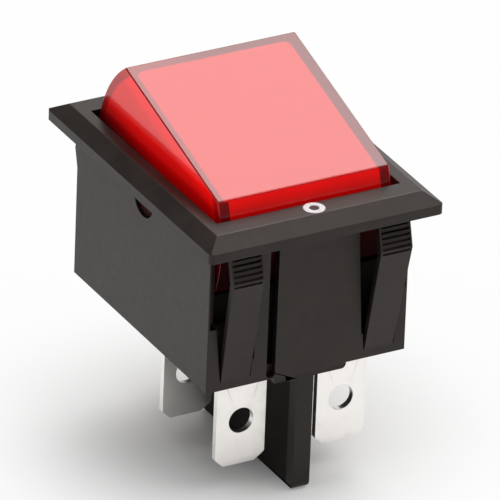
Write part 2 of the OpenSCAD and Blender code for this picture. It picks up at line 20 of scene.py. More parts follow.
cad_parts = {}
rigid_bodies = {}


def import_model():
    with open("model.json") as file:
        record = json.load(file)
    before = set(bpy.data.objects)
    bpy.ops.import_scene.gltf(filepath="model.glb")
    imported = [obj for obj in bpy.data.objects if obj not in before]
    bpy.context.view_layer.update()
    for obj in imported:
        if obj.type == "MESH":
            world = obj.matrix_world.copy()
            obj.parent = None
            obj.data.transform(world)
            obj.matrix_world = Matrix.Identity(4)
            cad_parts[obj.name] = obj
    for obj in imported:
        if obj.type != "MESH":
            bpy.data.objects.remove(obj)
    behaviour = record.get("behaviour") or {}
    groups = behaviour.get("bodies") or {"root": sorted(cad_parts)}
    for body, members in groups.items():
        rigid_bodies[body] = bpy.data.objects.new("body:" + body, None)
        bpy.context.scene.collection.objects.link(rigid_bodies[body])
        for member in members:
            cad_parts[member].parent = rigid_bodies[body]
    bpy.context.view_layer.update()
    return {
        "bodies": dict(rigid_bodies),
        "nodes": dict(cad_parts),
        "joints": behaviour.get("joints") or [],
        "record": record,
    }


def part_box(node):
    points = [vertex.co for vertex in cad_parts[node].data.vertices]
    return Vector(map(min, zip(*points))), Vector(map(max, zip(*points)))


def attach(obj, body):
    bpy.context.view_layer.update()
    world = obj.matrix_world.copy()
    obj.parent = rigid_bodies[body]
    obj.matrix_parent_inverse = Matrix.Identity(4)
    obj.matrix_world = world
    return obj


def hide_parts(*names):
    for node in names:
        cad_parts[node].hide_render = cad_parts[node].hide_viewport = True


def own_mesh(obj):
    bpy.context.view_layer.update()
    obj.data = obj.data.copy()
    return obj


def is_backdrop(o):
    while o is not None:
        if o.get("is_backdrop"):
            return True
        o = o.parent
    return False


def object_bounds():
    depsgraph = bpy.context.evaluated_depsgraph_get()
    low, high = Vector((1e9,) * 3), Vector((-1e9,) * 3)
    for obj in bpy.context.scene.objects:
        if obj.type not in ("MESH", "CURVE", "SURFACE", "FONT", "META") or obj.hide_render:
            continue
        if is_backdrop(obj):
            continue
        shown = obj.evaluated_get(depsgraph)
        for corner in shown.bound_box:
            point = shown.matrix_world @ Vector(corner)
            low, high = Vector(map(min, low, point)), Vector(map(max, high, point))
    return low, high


LOG = logging.getLogger("rocker_switch")
MM = 0.001

Number = Union[float, "Value"]
Colour = tuple[float, float, float]
Triple = tuple[float, float, float]
Span = tuple[float, float]

BLACK: Colour = (0.0, 0.0, 0.0)
WHITE: Colour = (1.0, 1.0, 1.0)


class Body(str, Enum):
    """The bodies that pieces ride on."""

    HOUSING = "housing"
    ROCKER = "rocker"


class Slot(str, Enum):
    """The record's material slots."""

    NYLON = "black_nylon"
    LENS = "red_lens"
    SPRING = "spring_steel"
    ACETAL = "ivory_acetal"
    COPPER = "copper_alloy"
    SILVER = "silver_alloy"
    TIN = "tinned_brass"
    GLASS = "lamp_glass"
    LACQUER = "resistor_body"


class Value:
    """A number that varies over a surface: one output socket, with arithmetic."""

    def __init__(self, graph: "Graph", socket: bpy.types.NodeSocket) -> None:
        """Wraps a socket.

        Args:
            graph: the graph that the socket's node is in.
            socket: the output socket.
        """
        self.graph = graph
        self.socket = socket

    def _math(self, operation: str, *values: Number) -> "Value":
        """Adds a Math node for an operation on the values."""
        return self.graph.node("ShaderNodeMath", {"operation": operation}, dict(enumerate(values)))

    def __add__(self, other: Number) -> "Value":
        """Sum."""
        return self._math("ADD", self, other)

    __radd__ = __add__

    def __sub__(self, other: Number) -> "Value":
        """Difference."""
        return self._math("SUBTRACT", self, other)

    def __rsub__(self, other: Number) -> "Value":
        """Difference with the value on the right."""
        return self._math("SUBTRACT", other, self)

    def __mul__(self, other: Number) -> "Value":
        """Product."""
        return self._math("MULTIPLY", self, other)

    __rmul__ = __mul__

    def __neg__(self) -> "Value":
        """Opposite."""
        return self._math("MULTIPLY", self, -1.0)

    def __abs__(self) -> "Value":
        """Size without sign."""
        return self._math("ABSOLUTE", self)

    def root(self) -> "Value":
        """Square root."""
        return self._math("SQRT", self)

    def at_least(self, other: Number) -> "Value":
        """The larger of this and the other."""
        return self._math("MAXIMUM", self, other)

    def at_most(self, other: Number) -> "Value":
        """The smaller of this and the other."""
        return self._math("MINIMUM", self, other)

    def rise(self, low: float, high: float) -> "Value":
        """A smooth step from 0 at low to 1 at high.

        Args:
            low: where the step starts.
            high: where it ends, which may be below low.

        Returns:
            The step, held to 0 and 1 outside it.
        """
        if high < low:
            return 1.0 - self.rise(high, low)
        return self.graph.node(
            "ShaderNodeMapRange",
            {"interpolation_type": "SMOOTHSTEP"},
            {"Value": self, "From Min": low, "From Max": high},
        )

    def step(self, middle: float, blur: float) -> "Value":
        """A smooth step from 0 to 1 round the middle, as wide as the blur on each side."""
        return self.rise(middle - blur, middle + blur)


@dataclass(frozen=True)
class Pattern:
    """Noise of one kind: its waves to the millimetre, its finer layers, and how it is stretched."""

    scale: float
    detail: float = 2.0
    roughness: float = 0.5
    stretch: Triple = (1.0, 1.0, 1.0)


class Graph:
    """The node graph of one material or of the world."""

    def __init__(self, owner: bpy.types.Material | bpy.types.World) -> None:
        """Empties the owner's graph.

        Args:
            owner: the material or world that the graph is for.
        """
        owner.use_nodes = True
        self.owner = owner
        self.tree = owner.node_tree
        self.tree.nodes.clear()

    @classmethod
    def material(cls, name: str) -> "Graph":
        """The empty graph of a new material."""
        return cls(bpy.data.materials.new(name))

    def node(
        self,
        kind: str,
        settings: dict[str, Any] | None = None,
        inputs: dict[int | str, Any] | None = None,
        output: int | str = 0,
    ) -> Value:
        """Adds a node.

        Args:
            kind: the node's type.
            settings: its own settings, set first.
            inputs: values or links for its input sockets, by name or number.
            output: the output socket to return.

        Returns:
            That output socket as a value.
        """
        made = self.tree.nodes.new(kind)
        for key, value in (settings or {}).items():
            setattr(made, key, value)
        for key, value in (inputs or {}).items():
            if isinstance(value, Value):
                self.tree.links.new(value.socket, made.inputs[key])
            elif isinstance(value, tuple) and len(value) == 3 and made.inputs[key].type == "RGBA":
                made.inputs[key].default_value = (*value, 1.0)
            else:
                made.inputs[key].default_value = value
        return Value(self, made.outputs[output])

    def position(self, scale: Triple = (1.0, 1.0, 1.0)) -> Value:
        """The point in the object's own frame, in millimetres times a scale.

        Args:
            scale: factors along X, Y and Z.

        Returns:
            The vector.
        """
        point = self.node("ShaderNodeTexCoord", output="Object")
        factors = tuple(s / MM for s in scale)
        return self.node("ShaderNodeVectorMath", {"operation": "MULTIPLY"}, {0: point, 1: factors})

    def split(self, vector: Value) -> tuple[Value, Value, Value]:
        """The three parts of a vector.

        Args:
            vector: the vector.

        Returns:
            Its parts along X, Y and Z.
        """
        made = self.tree.nodes.new("ShaderNodeSeparateXYZ")
        self.tree.links.new(vector.socket, made.inputs[0])
        return tuple(Value(self, made.outputs[i]) for i in range(3))

    def noise(self, pattern: Pattern) -> Value:
        """Noise from 0 to 1, mostly near one half.

        Args:
            pattern: its kind.

        Returns:
            The noise.
        """
        inputs = {
            "Vector": self.position(pattern.stretch),
            "Scale": pattern.scale,
            "Detail": pattern.detail,
            "Roughness": pattern.roughness,
        }
        return self.node("ShaderNodeTexNoise", {}, inputs)

    def mix(self, factor: Number, low: Number, high: Number) -> Value:
        """Mixes two numbers: the first at factor 0 and the second at factor 1."""
        return self.node("ShaderNodeMix", {}, {0: factor, 2: low, 3: high})

    def mix_shaders(self, factor: Number, low: Value, high: Value) -> Value:
        """Mixes two shaders: the first at factor 0 and the second at factor 1."""
        return self.node("ShaderNodeMixShader", {}, {0: factor, 1: low, 2: high})

    def blend(self, factor: Number, low: Value | Colour, high: Value | Colour) -> Value:
        """Mixes two colours.

        Args:
            factor: 0 for the first and 1 for the second.
            low: the first colour.
            high: the second colour.

        Returns:
            The mixed colour.
        """
        settings = {"data_type": "RGBA"}
        return self.node("ShaderNodeMix", settings, {0: factor, 6: low, 7: high}, output=2)

    def dot(self, vector: Value, way: Triple) -> Value:
        """How far a vector reaches along a way."""
        inputs = {0: vector, 1: way}
        return self.node("ShaderNodeVectorMath", {"operation": "DOT_PRODUCT"}, inputs, output="Value")

    def bump(self, height: Value, distance: float) -> Value:
        """A normal from a height.

        Args:
            height: the height, from 0 to 1.
            distance: how high 1 is, in millimetres.

        Returns:
            The normal.
        """
        return self.node("ShaderNodeBump", {}, {"Height": height, "Distance": distance * MM})

    def shader(self, **inputs: Any) -> Value:
        """Adds a Principled shader, whose inputs are named with _ for a space."""
        named = {key.replace("_", " "): value for key, value in inputs.items()}
        return self.node("ShaderNodeBsdfPrincipled", {}, named)

    def surface(self, **inputs: Any) -> bpy.types.Material:
        """Ends the graph with a Principled shader, whose inputs are named with _ for a space."""
        return self.output(self.shader(**inputs))

    def output(self, shader: Value) -> bpy.types.Material | bpy.types.World:
        """Links a shader to the output.

        Args:
            shader: the last shader of the graph.

        Returns:
            The graph's owner.
        """
        kind = "World" if isinstance(self.owner, bpy.types.World) else "Material"
        end = self.tree.nodes.new(f"ShaderNodeOutput{kind}")
        self.tree.links.new(shader.socket, end.inputs["Surface"])
        return self.owner


@dataclass(frozen=True)
class MouldedNylon:
    """Black glass-filled nylon from a spark-eroded mould: satin, a little mottled, dusty in places, with
    painted shade that darkens the body's hollow and the barrier below the body.
    """

    dark: Colour = (0.0135, 0.0104, 0.0092)
    light: Colour = (0.0215, 0.0166, 0.0147)
    dust: Colour = (0.10, 0.09, 0.085)
    painted_shade: Colour = (0.0016, 0.0013, 0.0012)
    sheen_tint: Colour = (1.0, 0.88, 0.83)
    gloss: float = 0.38
    roughness: float = 0.43
    mottle: Pattern = Pattern(0.22, 4.0, 0.6)
    mottle_span: Span = (0.35, 0.65)
    mottle_roughness: float = 0.16
    flow: Pattern = Pattern(1.4, stretch=(0.12, 0.9, 0.9))
    flow_roughness: float = 0.12
    specks: Pattern = Pattern(3.4, 1.0)
    speck_span: Span = (0.755, 0.775)
    speck_share: float = 0.2
    grain: Pattern = Pattern(6.0, 3.0, 0.6)
    grain_depth: float = 0.010
    # painted shade: the body's hollow and the barrier below the body are blended to a near black colour
    hollow: Triple = (12.2, 14.6, -0.3)
    hollow_fade: float = 0.4
    hollow_roughness: float = 0.4
    barrier_top: float = -18.55
    barrier_fade: float = 0.3
    barrier_shade_share: float = 0.7

    def material(self) -> bpy.types.Material:
        """Builds the material.

        Returns:
            The material, with its nodes.
        """
        graph = Graph.material("moulded_nylon")
        inside, barrier = self._painted_shade_parts(graph)
        mottle = graph.noise(self.mottle)
        specks = graph.noise(self.specks).rise(*self.speck_span)
        colour = graph.blend(mottle.rise(*self.mottle_span), self.dark, self.light)
        colour = graph.blend(specks * self.speck_share, colour, self.dust)
        # painted shade in the body's hollow and on the barrier below the body
        colour = graph.blend(inside.at_least(barrier), colour, self.painted_shade)
        uneven = (mottle - 0.5) * self.mottle_roughness
        uneven = uneven + (graph.noise(self.flow) - 0.5) * self.flow_roughness
        return graph.surface(
            Base_Color=colour,
            Roughness=self.roughness + uneven + self.hollow_roughness * inside,
            Normal=graph.bump(graph.noise(self.grain), self.grain_depth),
            Specular_IOR_Level=self.gloss,
            Specular_Tint=(*self.sheen_tint, 1.0),
        )

    def _painted_shade_parts(self, graph: Graph) -> tuple[Value, Value]:
        """The share of painted shade at a point in the body's hollow, and on the barrier below the body.

        Args:
            graph: the material's nodes.

        Returns:
            Both shares, from 0 to 1.
        """
        x, y, z = graph.split(graph.position())
        half_x, half_y, top = self.hollow
        depth = (half_x - abs(x)).at_most(half_y - abs(y)).at_most(top - z)
        barrier = (self.barrier_top - z).rise(0.0, self.barrier_fade)
        return depth.rise(0.0, self.hollow_fade), self.barrier_shade_share * barrier


@dataclass(frozen=True)
class RedLens:
    """Clear red plastic, bright where a lit diffuser lies behind it and dark along the walls.

    Heights are above the pivot along the rocker's own upright, and levels are above a line that runs
    with the bezel at rest. A fade goes from nothing at its first number to all at its second.
    The emission is a painted glow that stands in for light scattered through the plastic, dimmed by
    painted shade towards the bezel; the round ends and sides are painted brighter than the top, the
    top's border is painted lighter on the left, and painted shade darkens the ends, the sides and the
    skirt below the bezel.
    """

    pivot_z: float
    tilt: float
    top: float
    half_width: float
    half_length: float
    end_radius: float
    # painted light: the round ends and sides are painted brighter than the top, standing in for light
    # scattered into them
    lit_top: Colour = (0.54, 0.006, 0.005)
    lit_round_painted_brighter: Colour = (0.86, 0.003, 0.003)
    border: Colour = (0.19, 0.003, 0.004)
    # painted light: the top's border is painted lighter towards the left
    border_painted_lighter_left: Colour = (0.31, 0.007, 0.008)
    border_fade: Span = (0.0, 8.0)
    walls: Colour = (0.125, 0.002, 0.004)
    # painted glow: the rocker is no lamp; this emission stands in for light scattered through the plastic,
    # and the fades below dim it towards the bezel as painted shade
    painted_glow: Colour = (1.0, 0.0, 0.0)
    top_glow: float = 0.16
    round_glow: float = 0.42
    glow_base: float = 0.2
    glow_steps: tuple[Triple, ...] = ((0.35, 0.5, 5.0), (0.45, 6.8, 8.2))
    shade_least: float = 0.3
    shade_fade: Span = (3.6, 6.8)
    bezel_shade_fade: Span = (1.6, 3.6)
    end_glow_fade: Span = (4.4, 7.0)
    # painted shade: the round ends and sides darken towards the bottom
    end_shade_fade: Span = (2.2, 7.2)
    end_floor: float = 0.12
    lip_floor: float = 0.36
    lip_fade: Span = (-0.25, -0.1)
    side_shade_fade: Span = (-1.5, 3.5)
    side_floor: float = 0.45
    # painted shade: below the bezel the rocker is painted a near black, dull colour
    skirt_shade: Colour = (0.03, 0.001, 0.001)
    skirt_gloss: float = 0.1
    skirt_roughness: float = 0.7
    skirt_fade: Span = (1.0, 5.5)
    wall_left: float = 0.75
    wall_right: float = 1.45
    wall_back: float = 1.1
    corner: float = 0.9
    blur: float = 0.16
    side_wall: float = 1.15
    side_wall_blur: float = 0.2
    end_wall: float = 1.3
    end_wall_blur: float = 0.06
    edge: float = 0.12
    edge_blur: float = 0.04
    face_fade: Span = (0.1, 0.05)
    weave: Pattern = Pattern(3.2, 3.0, 0.7, (1.0, 0.35, 1.0))
    weave_share: float = 0.10
    roughness: float = 0.07
    ripple: Pattern = Pattern(0.6)
    ripple_roughness: float = 0.05
    ripple_depth: float = 0.004

    def material(self) -> bpy.types.Material:
        """Builds the material.

        Returns:
            The material, with its nodes.
        """
        graph = Graph.material("red_lens")
        x, along, height = self._place(graph)
        blur_in = self.edge + self.edge_blur
        on_top = height.rise(self.top - blur_in, self.top - self.edge)
        on_side = abs(x).rise(self.half_width - blur_in, self.half_width - self.edge)
        face = (abs(x) - self.half_width).rise(*self.face_fade)
        around = graph.mix(on_side, self._lit_end(x, height), self._lit_side(along, height) * face)
        lit = graph.mix(on_top, around, self._lit_top(x, along))
        lit = lit * (1.0 - self.weave_share * graph.noise(self.weave))
        # painted light: the border lightens towards the left
        border = graph.blend((-x).rise(*self.border_fade), self.border, self.border_painted_lighter_left)
        # painted light: round ends and sides brighter than the top
        shown = graph.blend(on_top, self.lit_round_painted_brighter, self.lit_top)
        painted_glow = graph.mix(on_top, self._lamp(on_side, along, height), self.top_glow)
        ripple = graph.noise(self.ripple)
        lens = graph.shader(
            Base_Color=graph.blend(lit, graph.blend(on_top, self.walls, border), shown),
            Roughness=self.roughness + self.ripple_roughness * ripple,
            Normal=graph.bump(ripple, self.ripple_depth),
            # painted glow: emission standing in for light scattered through the plastic
            Emission_Color=graph.blend(lit * painted_glow, BLACK, self.painted_glow),
            Emission_Strength=1.0,
        )
        # painted shade on the skirt below the bezel
        skirt_shade = graph.shader(
            Base_Color=self.skirt_shade, Roughness=self.skirt_roughness, Specular_IOR_Level=self.skirt_gloss
        )
        clear = height.rise(*self.skirt_fade).at_least(on_side) * face
        return graph.output(graph.mix_shaders(clear, skirt_shade, lens))

    def _place(self, graph: Graph) -> tuple[Value, Value, Value]:
        """A point's distance across, along and above the pivot, in the rocker's own frame.

        Args:
            graph: the material's nodes.

        Returns:
            The three distances in millimetres.
        """
        x, y, z = graph.split(graph.position())
        cos, sin = math.cos(self.tilt), math.sin(self.tilt)
        above = z - self.pivot_z
        return x, y * cos + above * sin, above * cos - y * sin

    def _lit_top(self, x: Value, along: Value) -> Value:
        """The diffuser as it shows through the top: a rectangle with round corners, open at the front.

        Args:
            x: the distance across.
            along: the distance along the rocker.

        Returns:
            1 where it shows and 0 elsewhere.
        """
        left = self.wall_left - self.half_width
        right = self.half_width - self.wall_right
        back = self.half_length - self.wall_back
        front = -self.half_length - 2 * self.corner
        over_x = (abs(x - (left + right) / 2) - ((right - left) / 2 - self.corner)).at_least(0.0)
        over_y = (abs(along - (front + back) / 2) - ((back - front) / 2 - self.corner)).at_least(0.0)
        distance = (over_x * over_x + over_y * over_y).root()
        return (distance - self.corner).rise(self.blur, -self.blur)

    def _lit_end(self, x: Value, height: Value) -> Value:
        """The diffuser as it shows through a round end, between the side walls, with painted shade that
        darkens it towards the bottom.

        Args:
            x: the distance across.
            height: the height above the pivot.

        Returns:
            How much of it shows, from 0 to 1.
        """
        low, high = self.lip_fade
        floor = self.end_floor + self.lip_floor * height.rise(self.top + low, self.top + high)
        inset = self.half_width - abs(x)
        open_part = inset.step(self.end_wall, self.end_wall_blur)
        upper = height.rise(*self.end_shade_fade)
        return (open_part + floor * (1.0 - open_part)) * (upper * upper)

    def _lit_side(self, along: Value, height: Value) -> Value:
        """The diffuser as it shows through a side, inside the end walls, with painted shade that darkens
        it towards the bottom.

        Args:
            along: the distance along the rocker.
            height: the height above the pivot.

        Returns:
            How much of it shows, from 0 to 1.
        """
        inset = self.end_radius - (along * along + height * height).root()
        open_part = inset.step(self.side_wall, self.side_wall_blur)
        return (open_part + self.side_floor * (1.0 - open_part)) * height.rise(*self.side_shade_fade)

    def _lamp(self, on_side: Value, along: Value, height: Value) -> Value:
        """How strong the painted glow is on the ends and sides: painted light that stands in for light
        scattered through the plastic, painted darker towards the bezel as shade.

        Args:
            on_side: 1 on the sides and 0 elsewhere.
            along: the distance along the rocker.
            height: the height above the pivot.

        Returns:
            The glow's strength.
        """
        painted_glow: Number = self.glow_base
        for share, low, high in self.glow_steps:
            painted_glow = painted_glow + share * height.rise(low, high)
        level = height + self.tilt * along
        shade = self.shade_least + (1.0 - self.shade_least) * level.rise(*self.shade_fade)
        end = height.rise(*self.end_glow_fade).at_least(on_side)
        return self.round_glow * painted_glow * shade * level.rise(*self.bezel_shade_fade) * end


@dataclass(frozen=True)
class StampedMetal:
    """Stamped or turned metal with rolling marks and a slight tarnish."""

    name: str
    colour: Colour
    tarnish: Colour
    roughness: float = 0.3
    cloud: Pattern = Pattern(0.5, 4.0, 0.6)
    cloud_span: Span = (0.45, 0.75)
    cloud_roughness: float = 0.2
    lines: Pattern = Pattern(2.0, 3.0, 0.7, (3.0, 3.0, 0.4))
    line_roughness: float = 0.15
    line_depth: float = 0.004

    def material(self) -> bpy.types.Material:
        """Builds the material.

        Returns:
            The material, with its nodes.
        """
        graph = Graph.material(self.name)
        cloud, lines = graph.noise(self.cloud), graph.noise(self.lines)
        uneven = (cloud - 0.5) * self.cloud_roughness + (lines - 0.5) * self.line_roughness
        return graph.surface(
            Base_Color=graph.blend(cloud.rise(*self.cloud_span), self.colour, self.tarnish),
            Roughness=self.roughness + uneven,
            Metallic=1.0,
            Normal=graph.bump(lines, self.line_depth),
        )


@dataclass(frozen=True)
class SmoothPlastic:
    """Plain moulded or lacquered surface with slight mottling."""

    name: str
    colour: Colour
    shade: Colour
    roughness: float = 0.35
    cloud: Pattern = Pattern(0.8, 3.0, 0.55)
    cloud_span: Span = (0.3, 0.7)
    cloud_roughness: float = 0.15
    grain: Pattern = Pattern(7.0)
    grain_depth: float = 0.006

    def material(self) -> bpy.types.Material:
        """Builds the material.

        Returns:
            The material, with its nodes.
        """
        graph = Graph.material(self.name)
        cloud = graph.noise(self.cloud)
        return graph.surface(
            Base_Color=graph.blend(cloud.rise(*self.cloud_span), self.colour, self.shade),
            Roughness=self.roughness + (cloud - 0.5) * self.cloud_roughness,
            Normal=graph.bump(graph.noise(self.grain), self.grain_depth),
        )


@dataclass(frozen=True)
class LampGlass:
    """Thin glass with a warm cast and faint draw lines."""

    colour: Colour = (0.95, 0.72, 0.55)
    streak: Colour = (0.9, 0.62, 0.45)
    roughness: float = 0.04
    alpha: float = 0.35
    lines: Pattern = Pattern(2.5, stretch=(1.0, 0.15, 1.0))
    line_span: Span = (0.3, 0.7)
    line_roughness: float = 0.05
    line_alpha: float = 0.2
    line_depth: float = 0.004

    def material(self) -> bpy.types.Material:
        """Builds the material.

        Returns:
            The material, with its nodes.
        """
        graph = Graph.material("lamp_glass")
        lines = graph.noise(self.lines)
        return graph.surface(
            Base_Color=graph.blend(lines.rise(*self.line_span), self.colour, self.streak),
            Roughness=self.roughness + self.line_roughness * lines,
            Alpha=self.alpha + self.line_alpha * lines,
            Normal=graph.bump(lines, self.line_depth),
        )


@dataclass(frozen=True)
class PadPrint:
    """Pad-printed ink: nearly white, a little uneven at its edge."""

    colour: Colour = (0.80, 0.80, 0.82)
    thin: Colour = (0.62, 0.62, 0.65)
    roughness: float = 0.5
    cloud: Pattern = Pattern(3.0, 3.0, 0.6)
    cloud_span: Span = (0.4, 0.75)
    cloud_roughness: float = 0.15
    cloud_depth: float = 0.006

    def material(self) -> bpy.types.Material:
        """Builds the material.

        Returns:
            The material, with its nodes.
        """
        graph = Graph.material("pad_print")
        cloud = graph.noise(self.cloud)
        return graph.surface(
            Base_Color=graph.blend(cloud.rise(*self.cloud_span), self.colour, self.thin),
            Roughness=self.roughness + self.cloud_roughness * cloud,
            Normal=graph.bump(cloud, self.cloud_depth),
        )


@dataclass(frozen=True)
class SoftEdges:
    """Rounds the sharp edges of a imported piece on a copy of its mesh.

    An edge steeper than angle is rounded by width, or by a share of its shortest sharp neighbour where
    that has less room, and not at all where that is under least of the width.
    """

    width: float
    segments: int = 2
    angle: float = math.radians(28)
    share: float = 0.33
    least: float = 0.12
    weld: float = 0.002 * MM
    flatness: float = math.radians(0.4)

    def piece(self, source: bpy.types.Object, name: str) -> bpy.types.Object:
        """Makes the softened copy.

        Args:
            source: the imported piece.
            name: the new piece's name.

        Returns:
            The new piece, in the scene.
        """
        mesh = bpy.data.meshes.new(name)
        work = bmesh.new()
        work.from_mesh(source.data)
        bmesh.ops.remove_doubles(work, verts=work.verts, dist=self.weld)
        bmesh.ops.dissolve_limit(
            work, angle_limit=self.flatness, verts=work.verts, edges=work.edges, delimit={"NORMAL"}
        )
        bmesh.ops.connect_verts_concave(work, faces=work.faces)
        self._weigh(work)
        work.to_mesh(mesh)
        work.free()
        for leftover in ("custom_normal", "sharp_edge", "sharp_face"):
            if leftover in mesh.attributes:
                mesh.attributes.remove(mesh.attributes[leftover])
        made = Piece.add(name, mesh)
        bevel = made.modifiers.new("soft_edges", "BEVEL")
        bevel.width = self.width
        bevel.segments = self.segments
        bevel.limit_method = "WEIGHT"
        bevel.use_clamp_overlap = False
        bevel.harden_normals = True
        bevel.miter_outer = "MITER_ARC"
        self._apply(made)
        return made

    def _weigh(self, work: bmesh.types.BMesh) -> None:
        """Gives each sharp edge the share of the width that its shortest neighbour has room for.

        Args:
            work: the mesh being edited.
        """
        layer = work.edges.layers.float.new("bevel_weight_edge")
        sharp = {e for e in work.edges if len(e.link_faces) == 2 and e.calc_face_angle() > self.angle}
        for edge in sharp:
            near = {other for v in edge.verts for other in v.link_edges} & sharp
            room = min(other.calc_length() for other in near)
            weight = min(1.0, self.share * room / self.width)
            edge[layer] = weight if weight > self.least else 0.0

    @staticmethod
    def _apply(made: bpy.types.Object) -> None:
        """Applies the modifiers and shades the mesh smooth between its sharp edges.

        Args:
            made: the piece.
        """
        for face in made.data.polygons:
            face.use_smooth = True
        graph = bpy.context.evaluated_depsgraph_get()
        graph.update()
        baked = bpy.data.meshes.new_from_object(made.evaluated_get(graph))
        made.modifiers.clear()
        made.data = baked


class Piece:
    """What every visible piece needs: a place in the scene, a finish and a body."""

    @staticmethod
    def add(name: str, data: bpy.types.ID) -> bpy.types.Object:
        """Makes an object of a mesh, light or camera and puts it in the scene.

        Args:
            name: the object's name.
            data: the mesh, light or camera.

        Returns:
            The object.
        """
        made = bpy.data.objects.new(name, data)
        bpy.context.scene.collection.objects.link(made)
        return made

    @staticmethod
    def dress(piece: bpy.types.Object, material: bpy.types.Material) -> None:
        """Gives a piece one material.

        Args:
            piece: the piece.
            material: its material.
        """
        piece.data.materials.clear()
        piece.data.materials.append(material)

    @staticmethod
    def seat(piece: bpy.types.Object, body: Body, slot: Slot, replaces: Iterable[str] = ()) -> None:
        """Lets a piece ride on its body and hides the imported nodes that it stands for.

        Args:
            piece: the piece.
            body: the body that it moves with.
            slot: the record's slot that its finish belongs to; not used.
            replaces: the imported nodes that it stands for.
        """
        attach(piece, body.value)
        for node in replaces:
            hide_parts(node)
        LOG.info("%s: %d faces, rides on %s", piece.name, len(piece.data.polygons), body.value)


@dataclass
class Housing:
    """The bezel, body, snap arms and barrier, one moulding."""

    node: str = "housing"
    edges: SoftEdges = field(default_factory=lambda: SoftEdges(width=0.09 * MM))

    def build(self, frame: dict[str, Any]) -> None:
        """Builds the softened moulding.

        Args:
            frame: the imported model.
        """
        moulding = self.edges.piece(frame["nodes"][self.node], "switch_body")
        Piece.dress(moulding, MouldedNylon().material())
        Piece.seat(moulding, Body.HOUSING, Slot.NYLON, [self.node])


@dataclass
class OffMark:
    """The printed ring on the bezel's front border."""

    outer: float = 1.27 * MM
    inner: float = 0.56 * MM
    ahead: float = 16.25 * MM
    thickness: float = 0.02 * MM
    sides: int = 96

    def build(self) -> None:
        """Builds the ring as a thin, domed film of ink on the bezel."""
        top = self._bezel_top()
        rings = [
            (self.outer, -self.thickness),
            (self.outer - self.thickness, self.thickness / 2),
            (self.outer - 3 * self.thickness, self.thickness),
            (self.inner + 3 * self.thickness, self.thickness),
            (self.inner + self.thickness, self.thickness / 2),
            (self.inner, -self.thickness),
        ]
        work = bmesh.new()
        loops = [self._loop(work, radius, top + lift) for radius, lift in rings]
        for low, high in zip(loops, loops[1:] + loops[:1]):
            for i in range(self.sides):
                j = (i + 1) % self.sides
                work.faces.new((low[i], low[j], high[j], high[i])).smooth = True
        bmesh.ops.recalc_face_normals(work, faces=work.faces)
        mesh = bpy.data.meshes.new("off_mark")
        work.to_mesh(mesh)
        work.free()
        ring = Piece.add("off_mark", mesh)
        Piece.dress(ring, PadPrint().material())
        Piece.seat(ring, Body.HOUSING, Slot.NYLON)

    def _loop(self, work: bmesh.types.BMesh, radius: float, z: float) -> list[bmesh.types.BMVert]:
        """One circle of the ring's section.

        Args:
            work: the mesh being built.
            radius: the circle's radius.
            z: its height.

        Returns:
            Its points in order.
        """
        turn = 2 * math.pi / self.sides
        return [
            work.verts.new((radius * math.cos(turn * i), radius * math.sin(turn * i) - self.ahead, z))
            for i in range(self.sides)
        ]

    @staticmethod
    def _bezel_top() -> float:
        """The height of the bezel's flat top."""
        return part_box("housing")[1].z


@dataclass
class Rocker:
    """The red rocker."""

    node: str = "rocker_cap"
    edges: SoftEdges = field(default_factory=lambda: SoftEdges(width=0.16 * MM, segments=3))

    def build(self, frame: dict[str, Any]) -> None:
        """Builds the softened rocker.

        Args:
            frame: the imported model.
        """
        source = frame["nodes"][self.node]
        lens = self.edges.piece(source, "red_rocker")
        Piece.dress(lens, self._finish(source, frame["joints"]).material())
        Piece.seat(lens, Body.ROCKER, Slot.LENS, [self.node])

    @staticmethod
    def _finish(source: bpy.types.Object, joints: list[dict[str, Any]]) -> RedLens:
        """Works out the lens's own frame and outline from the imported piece.

        Args:
            source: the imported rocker.
            joints: the record's joints.

        Returns:
            The finish that follows that outline.
        """
        hinge = next(j for j in joints if j["name"] == "rocker_tilt")
        tilt = math.radians(sum(hinge["range_deg"]) / 2)
        pivot = Vector(hinge["pos_m"])
        level = Matrix.Rotation(-tilt, 4, "X") @ Matrix.Translation(-pivot)
        points = [level @ v.co for v in source.data.vertices]
        top = max(p.z for p in points)
        rim = [p for p in points if p.z > top - 0.01 * MM]
        return RedLens(
            pivot_z=pivot.z / MM,
            tilt=tilt,
            top=top / MM,
            half_width=max(p.x for p in rim) / MM,
            half_length=max(p.y for p in rim) / MM,
            end_radius=max(math.hypot(p.y, p.z) for p in rim) / MM,
        )


@dataclass
class Terminals:
    """The four blade terminals, with the slightly rounded edges that stamping leaves."""

    nodes: tuple[str, ...] = (
        "terminal_front_left",
        "terminal_front_right",
        "terminal_centre_left",
        "terminal_centre_right",
    )
    edges: SoftEdges = field(default_factory=lambda: SoftEdges(width=0.05 * MM))
    finish: StampedMetal = StampedMetal("tin_plate", (0.95, 0.92, 0.89), (0.90, 0.86, 0.82), 0.34)

    def build(self, frame: dict[str, Any]) -> None:
        """Builds the softened terminals.

        Args:
            frame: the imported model.
        """
        tin = self.finish.material()
        for node in self.nodes:
            tab = self.edges.piece(frame["nodes"][node], node.replace("terminal", "tab"))
            Piece.dress(tab, tin)
            Piece.seat(tab, Body.HOUSING, Slot.TIN, [node])


